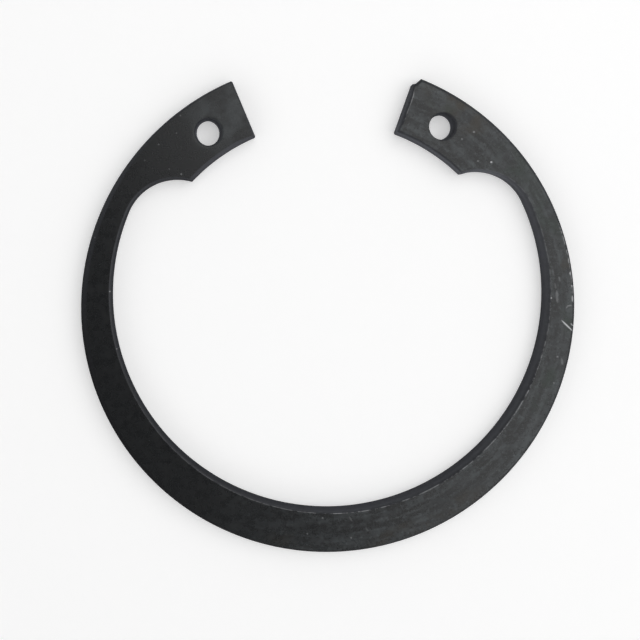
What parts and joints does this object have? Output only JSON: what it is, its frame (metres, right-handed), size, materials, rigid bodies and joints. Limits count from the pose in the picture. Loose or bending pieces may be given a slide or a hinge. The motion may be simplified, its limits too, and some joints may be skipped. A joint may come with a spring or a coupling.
{
  "type": "internal retaining ring",
  "caption": "Flat spring-steel retaining ring, open at a gap, with lugs pierced for pliers; it springs out into a groove in a bore.",
  "frame": {"origin": "centre of the ring's outer circle, on its back face, the one with the sharp edges", "axes": "+Z square to the ring towards its front face, whose edges are rolled over; +Y from the centre through the middle of the gap; +X towards the right lug"},
  "size_m": [0.0484, 0.0469, 0.0018],
  "materials": {
    "spring_steel": "phosphated and oiled, near-black satin"
  },
  "bodies": {
    "root": {"retaining_ring": "spring_steel"}
  },
  "joints": []
}
